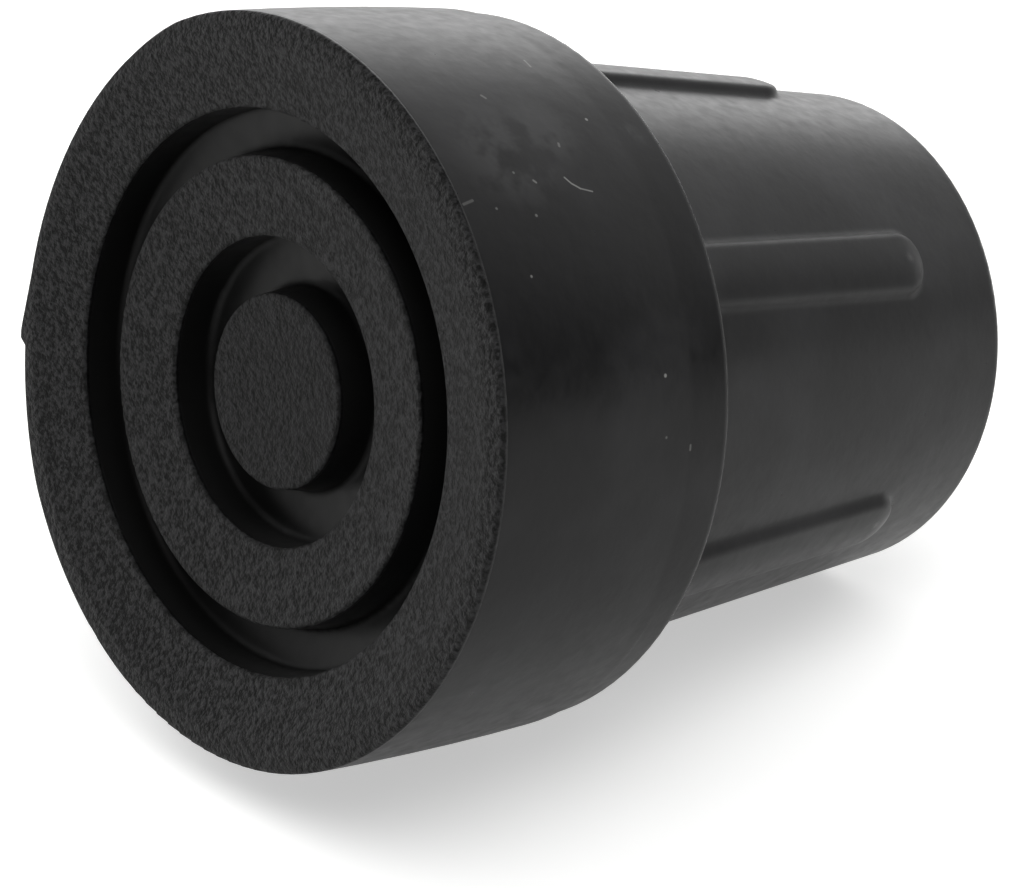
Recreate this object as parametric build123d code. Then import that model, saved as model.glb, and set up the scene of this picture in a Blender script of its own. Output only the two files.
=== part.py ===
from build123d import *
import math
import os

# Rubber cane tip, moulded in one piece. Sizes are in millimetres.
# The tip stands on its tread: the origin is the middle of the tread's ground plane,
# and +Z runs up the middle of the socket towards its mouth.

# Foot
tread_radius = 19.0         # rim that meets the ground
tread_flat = 1.2            # width of the flat ring that the tip stands on
tread_edge_round = 0.2
dish_depth = 2.3            # how far the tread is hollowed at its middle
foot_height = 15.5          # ground to shoulder
side_crown = 0.12           # outward swell halfway up the side
shoulder_radius = 18.65
shoulder_edge_round = 0.25

# Parting line of the mould, round the side just below the shoulder
parting_height = 13.4
parting_radius = 18.92
parting_step = 0.08         # mismatch of the two mould halves

# Tread rings, from the outside in
outer_groove_radius = 14.25
outer_groove_width = 2.4
ring_width = 4.0            # land between the two grooves
inner_groove_width = 2.9
groove_depth = 2.3          # below the hollowed tread
outer_wall_draft = 1.0      # degrees
inner_wall_draft = 8.0      # degrees
groove_foot_round = 0.2
land_edge_round = 0.12

# Barrel
overall_height = 43.0
shoulder_width = 2.65       # ledge between the foot's edge and the barrel
barrel_mouth_radius = 13.6
barrel_root_fillet = 1.0
mouth_edge_round = 0.6

# Socket for the shaft
socket_radius = 9.5
socket_depth = 28.0
socket_lead_in = 0.8        # chamfer at the mouth

# Ribs on the barrel
rib_count = 6
first_rib_angle = 30.0      # degrees round from +X
rib_width = 3.2             # halfway up the flanks
rib_height = 0.65           # at the top of its crown
rib_crown = 0.22            # rise of the crown above its edges
rib_draft = 28.0            # degrees, slope of the flanks and the end
rib_mouth_gap = 7.0         # from the rib's end to the mouth
rib_edge_round = 0.4
rib_root_fillet = 0.3       # where a rib blends into the barrel
rib_root = 0.6              # how deep a rib's body starts inside the wall

# Rim where the moulding flash was trimmed off, and the nib that the trimming left
trim_angle = 78.0           # degrees, middle of the trimmed stretch
trim_half_angle = 52.0      # degrees, from its middle to where it runs out
trim_depth = 0.68
trim_height = 1.1
nib_root_angle = 68.0       # degrees, where the nib starts to rise
nib_tip_angle = 55.7        # degrees, its highest point
nib_end_angle = 53.9        # degrees, foot of its steep end
nib_height = 0.65


def taper(height, angle):
    """Sideways run of a drafted wall over a height."""
    return height * math.tan(math.radians(angle))


# The hollow of the tread is part of a sphere that starts at the inside of the flat ring.
dish_radius = tread_radius - tread_flat
dish_sphere = (dish_radius**2 + dish_depth**2) / (2 * dish_depth)


def dish_height(radius):
    """Height of the hollowed tread above the ground at a distance from the axis."""
    return dish_depth - dish_sphere + math.sqrt(dish_sphere**2 - radius**2)


def dish_point(radius):
    return (radius, dish_height(radius))


def dish_arc(from_radius, to_radius):
    """Stretch of the hollowed tread between two distances from the axis."""
    middle = (from_radius + to_radius) / 2
    ThreePointArc(dish_point(from_radius), dish_point(middle), dish_point(to_radius))


# Radii of the rings, worked inwards from the outer groove
ring_outer_radius = outer_groove_radius - outer_groove_width
ring_inner_radius = ring_outer_radius - ring_width
pad_radius = ring_inner_radius - inner_groove_width


def groove_corners(outer_radius, inner_radius):
    """The four corners of a groove's section: pad side mouth and foot, then rim side foot and mouth."""
    inner_mouth = dish_point(inner_radius)
    outer_mouth = dish_point(outer_radius)
    inner_foot = (inner_radius + taper(groove_depth, inner_wall_draft), inner_mouth[1] + groove_depth)
    outer_foot = (outer_radius - taper(groove_depth, outer_wall_draft), outer_mouth[1] + groove_depth)
    return inner_mouth, inner_foot, outer_foot, outer_mouth


inner_groove = groove_corners(ring_inner_radius, pad_radius)
outer_groove = groove_corners(outer_groove_radius, ring_outer_radius)

# The barrel starts at the inner edge of the shoulder's ledge.
barrel_root_radius = shoulder_radius - shoulder_width

# Corners of the outside, from the ground up to the socket's floor
rim = (tread_radius, 0)
side_middle = ((tread_radius + parting_radius) / 2 + side_crown, parting_height / 2)
parting_below = (parting_radius, parting_height)
parting_above = (parting_radius - parting_step, parting_height)
shoulder = (shoulder_radius, foot_height)
barrel_root = (barrel_root_radius, foot_height)
mouth_outside = (barrel_mouth_radius, overall_height)
mouth_inside = (socket_radius + socket_lead_in, overall_height)
socket_top = (socket_radius, overall_height - socket_lead_in)
socket_floor = overall_height - socket_depth

with BuildPart() as tip:
    # Half section through the axis, turned once round it
    with BuildSketch(Plane.XZ) as section:
        with BuildLine():
            Line((0, socket_floor), (0, dish_depth))
            dish_arc(0, pad_radius)
            Polyline(*inner_groove)
            dish_arc(ring_inner_radius, ring_outer_radius)
            Polyline(*outer_groove)
            dish_arc(outer_groove_radius, dish_radius)
            Line((dish_radius, 0), rim)
            ThreePointArc(rim, side_middle, parting_below)
            Polyline(parting_below, parting_above, shoulder, barrel_root, mouth_outside, mouth_inside)
            Polyline(mouth_inside, socket_top, (socket_radius, socket_floor), (0, socket_floor))
        make_face()

        def round_corner(point, radius):
            """Round the corner of the section that lies at a point."""
            fillet(section.vertices().sort_by_distance((*point, 0))[0], radius=radius)

        for groove in (inner_groove, outer_groove):
            inner_mouth, inner_foot, outer_foot, outer_mouth = groove
            round_corner(inner_mouth, land_edge_round)
            round_corner(outer_mouth, land_edge_round)
            round_corner(inner_foot, groove_foot_round)
            round_corner(outer_foot, groove_foot_round)
        round_corner(rim, tread_edge_round)
        round_corner(shoulder, shoulder_edge_round)
        round_corner(barrel_root, barrel_root_fillet)
        round_corner(mouth_outside, mouth_edge_round)
    revolve(axis=Axis.Z)

# One rib: a crowned section drawn across the barrel's slope where the rib's end turns round.
# It runs down from there into the foot, and half of it is turned round once to make the end.
barrel_slope = math.atan2(barrel_root_radius - barrel_mouth_radius, overall_height - foot_height)
slope_up = Vector(-math.sin(barrel_slope), 0, math.cos(barrel_slope))
rib_length = (overall_height - rib_mouth_gap - foot_height) / math.cos(barrel_slope)
rib_turn = Vector(barrel_root_radius, 0, foot_height) + slope_up * (rib_length - rib_width / 2)
rib_plane = Plane(origin=rib_turn, x_dir=(0, -1, 0), z_dir=slope_up)
rib_edge_height = rib_height - rib_crown
rib_edge = rib_width / 2 - taper(rib_edge_height - rib_height / 2, rib_draft)
rib_foot = rib_width / 2 + taper(rib_root + rib_height / 2, rib_draft)

with BuildPart() as rib:
    with BuildSketch(rib_plane) as rib_section:
        with BuildLine():
            Polyline(
                (-rib_edge, rib_edge_height),
                (-rib_foot, -rib_root),
                (rib_foot, -rib_root),
                (rib_edge, rib_edge_height),
            )
            ThreePointArc((rib_edge, rib_edge_height), (0, rib_height), (-rib_edge, rib_edge_height))
        make_face()
        fillet(rib_section.vertices().group_by(Axis.Y)[-1], radius=rib_edge_round)
    extrude(amount=-rib_length)
    with BuildSketch(rib_plane):
        add(rib_section.sketch_local)
        Rectangle(rib_foot, 2 * rib_foot, align=(Align.MIN, Align.CENTER), mode=Mode.INTERSECT)
    revolve(axis=Axis(rib_plane.origin, rib_plane.y_dir))

# The trim takes a shallow slanted slice off the rim, along an arc flatter than the rim itself
trimmed_radius = tread_radius - trim_depth
trim_offset = (tread_radius**2 - trimmed_radius**2) / (
    2 * (trimmed_radius - tread_radius * math.cos(math.radians(trim_half_angle)))
)
trim_arc_radius = trimmed_radius + trim_offset
trim_slope = math.degrees(math.atan2(trim_depth, trim_height))


def rim_point(radius, angle):
    """Point in the ground plane at a distance and an angle round the axis."""
    return (radius * math.cos(math.radians(angle)), radius * math.sin(math.radians(angle)))


nib_floor = trimmed_radius - nib_height
nib_outline = (
    rim_point(nib_floor, nib_root_angle),
    rim_point(trimmed_radius, nib_root_angle),
    rim_point(trimmed_radius + nib_height, nib_tip_angle),
    rim_point(trimmed_radius, nib_end_angle),
    rim_point(nib_floor, nib_end_angle),
)

with BuildPart() as trim:
    with BuildSketch():
        Circle(tread_radius + trim_depth)
    extrude(amount=trim_height)
    with BuildSketch():
        with Locations(rim_point(-trim_offset, trim_angle)):
            Circle(trim_arc_radius)
    extrude(amount=trim_height, taper=-trim_slope, mode=Mode.SUBTRACT)
    with BuildSketch():
        with BuildLine():
            Polyline(*nib_outline, close=True)
        make_face()
    extrude(amount=trim_height, mode=Mode.SUBTRACT)

ribs = [Rot(0, 0, first_rib_angle + number * 360 / rib_count) * rib.part for number in range(rib_count)]
cane_tip = tip.part + ribs
rib_outlines = new_edges(tip.part, *ribs, combined=cane_tip)
rib_roots = rib_outlines.filter_by_position(Axis.Z, foot_height + barrel_root_fillet, overall_height)
cane_tip = cane_tip.fillet(rib_root_fillet, rib_roots)
cane_tip -= trim.part

os.makedirs("parts", exist_ok=True)
export_step(cane_tip, "parts/cane_tip.step")
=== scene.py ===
import math

import bmesh
import bpy
from mathutils import Matrix, Vector


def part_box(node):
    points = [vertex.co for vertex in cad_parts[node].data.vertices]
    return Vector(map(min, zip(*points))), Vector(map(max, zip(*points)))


# Rubber cane tip: the moulded piece as packed, with a rubber material,
# lying on a white floor as in the photograph.

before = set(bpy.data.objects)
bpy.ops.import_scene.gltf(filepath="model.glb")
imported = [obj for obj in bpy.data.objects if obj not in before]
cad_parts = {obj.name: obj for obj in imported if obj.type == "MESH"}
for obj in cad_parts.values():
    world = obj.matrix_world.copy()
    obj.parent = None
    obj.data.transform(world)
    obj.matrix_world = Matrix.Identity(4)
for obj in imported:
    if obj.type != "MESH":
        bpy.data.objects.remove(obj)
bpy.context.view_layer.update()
mm = 0.001
print("frame loaded")

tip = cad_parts["cane_tip"]
lowCorner, highCorner = (Vector(corner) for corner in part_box("cane_tip"))


# The camera stands where the photograph was taken from.

photoCamera = {
    "place": Vector((-97.08, -86.17, -102.27)) * mm,
    "aim": Vector((4.178, -2.036, 19.431)) * mm,
    "roll": 81.977,  # degrees, the photograph shows the tip lying down
    "lens": 116.635,
    "sensor": 36.0,
    "clip": (0.01, 10.0),
}


def placeCamera(settings):
    cameraData = bpy.data.cameras.new("photoCamera")
    cameraData.lens = settings["lens"]
    cameraData.sensor_width = settings["sensor"]
    cameraData.clip_start, cameraData.clip_end = settings["clip"]
    camera = bpy.data.objects.new("photoCamera", cameraData)
    bpy.context.scene.collection.objects.link(camera)
    look = (settings["aim"] - settings["place"]).to_track_quat("-Z", "Y")
    roll = Matrix.Rotation(math.radians(settings["roll"]), 4, "Z")
    camera.matrix_world = Matrix.Translation(settings["place"]) @ look.to_matrix().to_4x4() @ roll
    bpy.context.scene.camera = camera
    return camera


camera = placeCamera(photoCamera)
print("camera placed")


# One floor for the tip lying as in the photograph, and one that it stands on in the other views

floorSettings = {
    "contactAngle": 332.7,  # degrees round the axis, where the side touches the floor
    "shoulderRadius": 18.65 * mm,
    "mouthRadius": 13.6 * mm,
    "shoulderHeight": 15.5 * mm,
    "extent": 1.2,
    "standingGap": 0.02 * mm,
    "paint": (0.80, 0.80, 0.79, 1.0),
    "lyingGlow": 0.51,  # seen by the camera only, so the lit floor reaches white
    "standingGlow": 0.72,
    "reflectedGlow": 0.26,
}


def lyingFloorNormal(settings):
    run = highCorner.z - settings["shoulderHeight"]
    slope = math.atan2(settings["shoulderRadius"] - settings["mouthRadius"], run)
    angle = math.radians(settings["contactAngle"])
    outward = Vector((math.cos(angle), math.sin(angle), 0.0)) * math.cos(slope)
    return -(outward + Vector((0.0, 0.0, math.sin(slope))))  # points up from the floor


def makeFloorMaterial(name, settings, glowSeen):
    material = bpy.data.materials.new(name)
    material.use_nodes = True
    nodes, links = material.node_tree.nodes, material.node_tree.links
    nodes.clear()
    output = nodes.new("ShaderNodeOutputMaterial")
    paint = nodes.new("ShaderNodeBsdfDiffuse")
    paint.inputs["Color"].default_value = settings["paint"]
    glow = nodes.new("ShaderNodeEmission")
    lightPath = nodes.new("ShaderNodeLightPath")
    reflected = nodes.new("ShaderNodeMath")
    reflected.operation = "MULTIPLY"
    reflected.inputs[1].default_value = settings["reflectedGlow"]
    links.new(lightPath.outputs["Is Glossy Ray"], reflected.inputs[0])
    glowStrength = nodes.new("ShaderNodeMath")
    glowStrength.operation = "MULTIPLY_ADD"
    glowStrength.inputs[1].default_value = glowSeen
    links.new(lightPath.outputs["Is Camera Ray"], glowStrength.inputs[0])
    links.new(reflected.outputs[0], glowStrength.inputs[2])
    links.new(glowStrength.outputs[0], glow.inputs["Strength"])
    lit = nodes.new("ShaderNodeAddShader")
    links.new(paint.outputs[0], lit.inputs[0])
    links.new(glow.outputs[0], lit.inputs[1])
    side = nodes.new("ShaderNodeNewGeometry")
    clear = nodes.new("ShaderNodeBsdfTransparent")
    oneSided = nodes.new("ShaderNodeMixShader")  # clear from behind, for the other views
    links.new(side.outputs["Backfacing"], oneSided.inputs[0])
    links.new(lit.outputs[0], oneSided.inputs[1])
    links.new(clear.outputs[0], oneSided.inputs[2])
    links.new(oneSided.outputs[0], output.inputs["Surface"])
    return material


def makeFloor(name, normal, offset, glowSeen, settings):
    mesh = bpy.data.meshes.new(name)
    shape = bmesh.new()
    bmesh.ops.create_grid(shape, x_segments=1, y_segments=1, size=settings["extent"])
    turn = normal.to_track_quat("Z", "Y").to_matrix().to_4x4()
    bmesh.ops.transform(shape, matrix=Matrix.Translation(normal * offset) @ turn, verts=shape.verts)
    shape.to_mesh(mesh)
    shape.free()
    mesh.materials.append(makeFloorMaterial(name, settings, glowSeen))
    floor = bpy.data.objects.new(name, mesh)
    bpy.context.scene.collection.objects.link(floor)
    floor.visible_shadow = False
    return floor


floorUp = lyingFloorNormal(floorSettings)
lowestPoint = min(vertex.co.dot(floorUp) for vertex in tip.data.vertices)
makeFloor("lyingFloor", floorUp, lowestPoint, floorSettings["lyingGlow"], floorSettings)
standingFloor = makeFloor("standingFloor", Vector((0, 0, 1)), -floorSettings["standingGap"],
                          floorSettings["standingGlow"], floorSettings)
standingFloor.visible_diffuse = False
standingFloor.visible_glossy = False
print("floors made")


# Soft panels of light all round, as (up from the lying floor, towards the camera, right).
# Each is brightest within the narrow cosine of its direction and fades out at the wide one.
panels = {
    "overhead": {"toward": (0.906, 0.423, 0.0), "brightness": 3.28, "wide": 0.82, "narrow": 0.985},
    "lowBackdrop": {"toward": (0.139, -0.990, 0.0), "brightness": 1.64, "wide": 0.82, "narrow": 0.985},
    "backLeft": {"toward": (0.40, -0.62, -0.62), "brightness": 1.27, "wide": 0.60, "narrow": 0.95},
    "backRight": {"toward": (0.40, -0.62, 0.62), "brightness": 0.96, "wide": 0.60, "narrow": 0.95},
}
horizonBlur = 0.02

# One lamp reaches the shoulder and the mouth, which the photograph doesn't show.
mouthLamp = {"toward": Vector((0.77, 0.64, 1.2)), "distance": 0.50, "size": 0.30, "power": 0.45}


def addLamp(name, settings):
    lampData = bpy.data.lights.new(name, "AREA")
    lampData.shape = "DISK"
    lampData.size = settings["size"]
    lampData.energy = settings["power"]
    lamp = bpy.data.objects.new(name, lampData)
    bpy.context.scene.collection.objects.link(lamp)
    middle = (lowCorner + highCorner) / 2
    lamp.location = middle + settings["toward"].normalized() * settings["distance"]
    lamp.rotation_euler = settings["toward"].to_track_quat("Z", "Y").to_euler()


def makeWorld(panels):
    world = bpy.data.worlds.new("studio")
    world.use_nodes = True
    nodes, links = world.node_tree.nodes, world.node_tree.links
    background = nodes["Background"]
    background.inputs["Color"].default_value = (1, 1, 1, 1)
    view = nodes.new("ShaderNodeTexCoord").outputs["Generated"]

    def facing(direction):
        node = nodes.new("ShaderNodeVectorMath")
        node.operation = "DOT_PRODUCT"
        node.inputs[1].default_value = direction
        links.new(view, node.inputs[0])
        return node.outputs["Value"]

    def join(operation, first, second):
        node = nodes.new("ShaderNodeMath")
        node.operation = operation
        links.new(first, node.inputs[0])
        links.new(second, node.inputs[1])
        return node.outputs[0]

    total = None
    for name, panel in panels.items():
        up, near, right = panel["toward"]
        toward = floorUp * up + alongFloor * near + photoRight * right
        spread = nodes.new("ShaderNodeMapRange")
        spread.label = name
        spread.interpolation_type = "SMOOTHSTEP"
        spread.inputs["From Min"].default_value = panel["wide"]
        spread.inputs["From Max"].default_value = panel["narrow"]
        spread.inputs["To Max"].default_value = panel["brightness"]
        links.new(facing(toward.normalized()), spread.inputs["Value"])
        light = spread.outputs["Result"]
        total = light if total is None else join("ADD", total, light)
    horizon = nodes.new("ShaderNodeMapRange")
    horizon.inputs["From Min"].default_value = -horizonBlur
    horizon.inputs["From Max"].default_value = horizonBlur
    links.new(facing(floorUp), horizon.inputs["Value"])
    seen = nodes.new("ShaderNodeMix")  # plain white where the camera sees past the tip
    links.new(nodes.new("ShaderNodeLightPath").outputs["Is Camera Ray"], seen.inputs["Factor"])
    links.new(join("MULTIPLY", total, horizon.outputs["Result"]), seen.inputs[2])
    seen.inputs[3].default_value = 1.0
    links.new(seen.outputs[0], background.inputs["Strength"])
    return world


towardsCamera = (photoCamera["place"] - photoCamera["aim"]).normalized()
alongFloor = (towardsCamera - floorUp * towardsCamera.dot(floorUp)).normalized()
photoRight = camera.matrix_world.to_3x3() @ Vector((1, 0, 0))
bpy.context.scene.world = makeWorld(panels)
addLamp("mouthLamp", mouthLamp)
bpy.context.scene.view_settings.view_transform = "Standard"
print("lights placed")


# Black rubber: satin sides with a little wear, a grained matt tread and bare near-black grooves

rubber = {
    "sideDark": (0.0035, 0.0035, 0.004, 1.0),
    "sideLight": (0.012, 0.012, 0.013, 1.0),
    "landDark": (0.001, 0.001, 0.001, 1.0),
    "landLight": (0.027, 0.027, 0.028, 1.0),
    "padLight": (0.015, 0.015, 0.016, 1.0),
    "grooveColour": (0.006, 0.006, 0.006, 1.0),
    "dust": (0.30, 0.30, 0.29, 1.0),
    "milky": (0.045, 0.045, 0.046, 1.0),
    "specular": 0.235,
    "sideRoughness": 0.33,
    "roughnessSpread": 0.20,
    "edgeRoughness": 0.15,
    "landRoughness": 0.54,
    "softEdge": 0.45 * mm,
    # grain, and how far it stands up
    "grainScale": 3000.0,
    "pitScale": 2600.0,
    "pitDistance": (0.10, 0.35),
    "pitShare": 0.4,
    "mottleScale": 150.0,
    "streakScale": 450.0,
    "cloudScale": 1200.0,
    "ringSoftness": 0.25,
    "padSoftness": 0.15,
    "landContrast": (0.42, 0.60),
    "sideContrast": (0.42, 0.68),
    "streakContrast": (0.40, 0.62),
    "milkyShare": 0.6,
    "grainDepth": 0.24 * mm,
    "landRelief": 0.85,
    "sideRelief": 0.05,
    # where each surface ends: distances from the axis, heights, and heights above the hollow
    "dishRadius": 17.8 * mm,
    "dishDepth": 2.3 * mm,
    "aboveDish": (0.10 * mm, 0.30 * mm),
    "padReach": (4.95 * mm, 5.15 * mm),
    "ringReach": (14.2 * mm, 14.5 * mm),
    "grooveReach": (17.0 * mm, 17.5 * mm),
    "grooveHeight": (5.0 * mm, 5.5 * mm),
    "backEdgeHeight": (15.20 * mm, 15.30 * mm),
    "backEdgeReach": (18.30 * mm, 18.38 * mm),
    # the band above the parting line, and how squarely it faces the floor
    "bandStart": (12.2 * mm, 12.8 * mm),
    "bandEnd": (15.0 * mm, 15.25 * mm),
    "bandReach": (18.2 * mm, 18.4 * mm),
    "facingFloor": (0.30, 0.75),
}

# Wear on the side of the foot (mm): each mark runs from one place to another, with its half
# width and how much it shows. Where both places are the same it is a nick.
wear = {
    "marks": (
        ((-18.39, -5.01, 7.37), (-18.30, -5.35, 7.63), 0.07, 0.65),
        ((-18.30, -5.35, 7.63), (-18.21, -5.64, 8.06), 0.07, 0.65),
        ((-18.21, -5.64, 8.06), (-18.14, -5.82, 8.77), 0.06, 0.55),
        ((-18.78, 2.98, 10.47), (-18.86, 2.42, 10.41), 0.09, 0.25),
        ((-18.05, -5.97, 0.40), (-18.11, -5.82, 1.03), 0.10, 0.22),
        ((-19.08, 0.23, 5.43), (-19.05, 0.05, 5.55), 0.11, 0.30),
        ((-18.93, -1.64, 11.09), (-18.93, -1.64, 11.09), 0.12, 0.70),
        ((-18.81, -3.09, 8.18), (-18.79, -3.25, 8.12), 0.10, 0.35),
        ((-18.39, -5.07, 5.30), (-18.36, -5.17, 5.40), 0.09, 0.45),
        ((-18.52, -4.58, 4.30), (-18.52, -4.58, 4.30), 0.10, 0.35),
        ((-17.81, -6.81, 4.53), (-17.81, -6.81, 4.53), 0.11, 0.45),
        ((-17.97, -6.32, 2.26), (-17.97, -6.32, 2.26), 0.10, 0.35),
        ((-13.24, -13.64, 10.67), (-13.24, -13.64, 10.67), 0.13, 0.80),
        ((-16.54, -9.47, 2.99), (-16.54, -9.47, 2.99), 0.10, 0.55),
        ((-10.94, -15.54, 10.71), (-10.94, -15.54, 10.71), 0.10, 0.30),
        ((-10.43, -15.82, 12.49), (-10.25, -15.94, 12.49), 0.09, 0.35),
    ),
    "markCore": 0.4,  # share of the half width that shows fully
    # milky bloom: middle and radius
    "blooms": (
        ((-18.78, -3.33, 4.55), 4.2),
        ((-18.94, -2.13, 7.63), 3.0),
        ((-18.61, -2.55, 13.96), 0.9),
    ),
    "bloomCore": 0.2,
}


def makeRubber(name, settings, wear):
    material = bpy.data.materials.new(name)
    material.use_nodes = True
    nodes, links = material.node_tree.nodes, material.node_tree.links
    shader = nodes["Principled BSDF"]
    place = nodes.new("ShaderNodeTexCoord").outputs["Object"]

    def feed(socket, value):
        if isinstance(value, bpy.types.NodeSocket):
            links.new(value, socket)
        else:
            socket.default_value = value

    def calculate(operation, first, second=0.0, clamp=False):
        node = nodes.new("ShaderNodeMath")
        node.operation = operation
        node.use_clamp = clamp
        feed(node.inputs[0], first)
        feed(node.inputs[1], second)
        return node.outputs[0]

    def measure(operation, output, first, second=None):
        node = nodes.new("ShaderNodeVectorMath")
        node.operation = operation
        feed(node.inputs[0], first)
        if second is not None:
            feed(node.inputs[1], second)
        return node.outputs[output]

    def ramp(value, ends, results, interpolation="SMOOTHSTEP"):
        node = nodes.new("ShaderNodeMapRange")
        node.interpolation_type = interpolation
        feed(node.inputs["Value"], value)
        node.inputs["From Min"].default_value, node.inputs["From Max"].default_value = ends
        node.inputs["To Min"].default_value, node.inputs["To Max"].default_value = results
        return node.outputs["Result"]

    def rise(value, ends):
        return ramp(value, ends, (0.0, 1.0))

    def fade(value, ends):
        return ramp(value, ends, (1.0, 0.0))

    def blendColours(factor, first, second):
        node = nodes.new("ShaderNodeMix")
        node.data_type = "RGBA"
        feed(node.inputs["Factor"], factor)
        feed(node.inputs[6], first)
        feed(node.inputs[7], second)
        return node.outputs[2]

    def blendValues(factor, first, second):
        node = nodes.new("ShaderNodeMix")
        feed(node.inputs["Factor"], factor)
        feed(node.inputs[2], first)
        feed(node.inputs[3], second)
        return node.outputs[0]

    def noise(scale, detail, roughness=0.5):
        node = nodes.new("ShaderNodeTexNoise")
        links.new(place, node.inputs["Vector"])
        node.inputs["Scale"].default_value = scale
        node.inputs["Detail"].default_value = detail
        node.inputs["Roughness"].default_value = roughness
        return node.outputs["Fac"]

    # where on the tip: the hollowed tread, its middle pad, the grooves and the rest
    split = nodes.new("ShaderNodeSeparateXYZ")
    links.new(place, split.inputs[0])
    height = split.outputs["Z"]
    flat = nodes.new("ShaderNodeCombineXYZ")
    links.new(split.outputs["X"], flat.inputs["X"])
    links.new(split.outputs["Y"], flat.inputs["Y"])
    radius = measure("LENGTH", "Value", flat.outputs[0])
    share = calculate("DIVIDE", radius, settings["dishRadius"])
    hollow = calculate("SUBTRACT", 1.0, calculate("POWER", share, 2.0))
    dish = calculate("MAXIMUM", calculate("MULTIPLY", hollow, settings["dishDepth"]), 0.0)
    land = fade(calculate("SUBTRACT", height, dish), settings["aboveDish"])
    notLand = calculate("SUBTRACT", 1.0, land)
    pad = fade(radius, settings["padReach"])
    rings = fade(radius, settings["ringReach"])
    low = fade(height, settings["grooveHeight"])
    grooved = calculate("MULTIPLY", low, fade(radius, settings["grooveReach"]))
    groove = calculate("MULTIPLY", grooved, notLand)

    # grain of the tread: a leathery noise with a few pits, softer on the rings and the pad
    grain = noise(settings["grainScale"], 2.0, 0.6)
    pits = nodes.new("ShaderNodeTexVoronoi")
    links.new(place, pits.inputs["Vector"])
    pits.inputs["Scale"].default_value = settings["pitScale"]
    apart = pits.outputs["Distance"]
    pitted = ramp(apart, settings["pitDistance"], (1.0 - settings["pitShare"], 1.0))
    grainHeight = calculate("MULTIPLY", grain, pitted)
    mottle = noise(settings["mottleScale"], 3.0)
    cloud = noise(settings["cloudScale"], 2.0)
    ringGrain = blendValues(calculate("MULTIPLY", rings, settings["ringSoftness"]), grainHeight, cloud)
    padGrain = blendValues(settings["padSoftness"], grainHeight, cloud)
    landGrain = blendValues(pad, ringGrain, padGrain)
    landTone = ramp(landGrain, settings["landContrast"], (0.0, 1.0), "LINEAR")
    landTop = blendColours(pad, settings["landLight"], settings["padLight"])
    landColour = blendColours(landTone, settings["landDark"], landTop)

    # wear on the side of the foot
    def nearestOn(start, end):  # the point of a straight mark that lies nearest
        along = end - start
        if along.length == 0.0:
            return start
        run = measure("DOT_PRODUCT", "Value", place, along / along.length_squared)
        share = calculate("SUBTRACT", run, start.dot(along) / along.length_squared, clamp=True)
        point = nodes.new("ShaderNodeVectorMath")
        point.operation = "MULTIPLY_ADD"
        links.new(share, point.inputs[0])
        point.inputs[1].default_value = along
        point.inputs[2].default_value = start
        return point.outputs[0]

    milky = 0.0
    for middle, size in wear["blooms"]:
        apart = measure("DISTANCE", "Value", place, Vector(middle) * mm)
        milky = calculate("MAXIMUM", fade(apart, (wear["bloomCore"] * size * mm, size * mm)), milky)
    streaks = rise(noise(settings["streakScale"], 3.0, 0.6), settings["streakContrast"])
    milky = calculate("MULTIPLY", calculate("MULTIPLY", milky, streaks), settings["milkyShare"])
    worn = 0.0
    for start, end, width, shows in wear["marks"]:
        apart = measure("DISTANCE", "Value", place, nearestOn(Vector(start) * mm, Vector(end) * mm))
        mark = ramp(apart, (wear["markCore"] * width * mm, width * mm), (shows, 0.0))
        worn = calculate("MAXIMUM", mark, worn)

    # colour: the side faintly cloudy and worn, then the grooves and the lands
    cloudy = blendColours(rise(mottle, settings["sideContrast"]), settings["sideDark"], settings["sideLight"])
    sideColour = blendColours(milky, cloudy, settings["milky"])
    grooveColour = blendColours(groove, sideColour, settings["grooveColour"])
    wholeColour = blendColours(land, grooveColour, landColour)
    dusty = calculate("MULTIPLY", worn, notLand)
    links.new(blendColours(dusty, wholeColour, settings["dust"]), shader.inputs["Base Color"])

    # gloss: satin with a polished back edge, duller on the lands
    evenRough = settings["sideRoughness"] - settings["roughnessSpread"] / 2
    sideRough = calculate("ADD", calculate("MULTIPLY", cloud, settings["roughnessSpread"]), evenRough)
    atTop = rise(height, settings["backEdgeHeight"])
    backEdge = calculate("MULTIPLY", atTop, rise(radius, settings["backEdgeReach"]))
    polished = blendValues(backEdge, sideRough, settings["edgeRoughness"])
    links.new(blendValues(land, polished, settings["landRoughness"]), shader.inputs["Roughness"])
    shader.inputs["Specular IOR Level"].default_value = settings["specular"]

    # above the parting line the side leans in, but only shows it near the floor
    soft = nodes.new("ShaderNodeBevel")  # rounds every edge a little more than it was modelled
    soft.samples = 2  # enough, and quicker
    soft.inputs["Radius"].default_value = settings["softEdge"]
    band = calculate("MULTIPLY", rise(height, settings["bandStart"]), fade(height, settings["bandEnd"]))
    outside = rise(radius, settings["bandReach"])
    toFloor = measure("DOT_PRODUCT", "Value", flat.outputs[0], -floorUp)
    awayFromFloor = fade(calculate("DIVIDE", toFloor, radius), settings["facingFloor"])
    upright = calculate("MULTIPLY", calculate("MULTIPLY", band, outside), awayFromFloor)
    evened = nodes.new("ShaderNodeMix")
    evened.data_type = "VECTOR"
    links.new(upright, evened.inputs["Factor"])
    links.new(soft.outputs[0], evened.inputs[4])
    links.new(measure("NORMALIZE", "Vector", flat.outputs[0]), evened.inputs[5])
    relief = nodes.new("ShaderNodeBump")
    relief.inputs["Distance"].default_value = settings["grainDepth"]
    links.new(evened.outputs[1], relief.inputs["Normal"])
    landRelief = calculate("MULTIPLY", grain, settings["landRelief"])
    sideRelief = calculate("MULTIPLY", cloud, settings["sideRelief"])
    links.new(blendValues(land, sideRelief, landRelief), relief.inputs["Height"])
    links.new(relief.outputs["Normal"], shader.inputs["Normal"])
    return material


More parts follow.
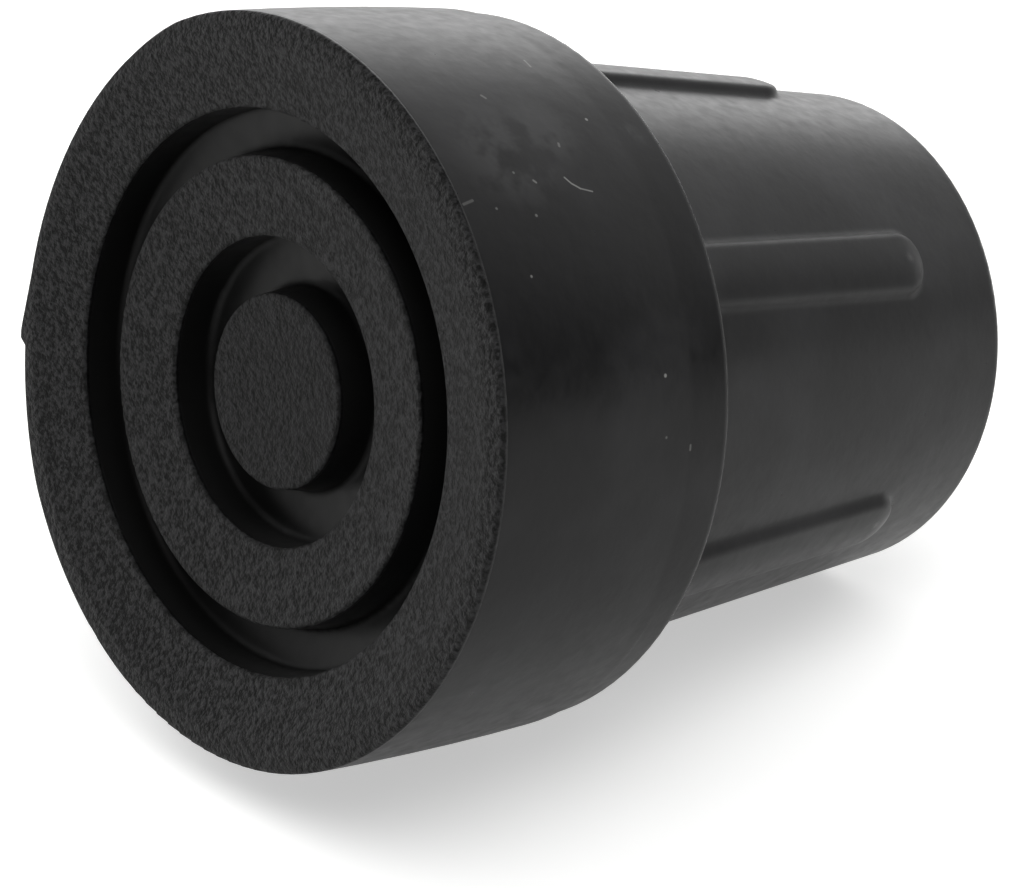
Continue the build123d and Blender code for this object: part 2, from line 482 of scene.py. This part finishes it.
blackRubber = makeRubber("blackRubber", rubber, wear)
for slot in tip.material_slots:
    slot.material = blackRubber
print("rubber made, slots", len(tip.material_slots), "faces", len(tip.data.polygons))
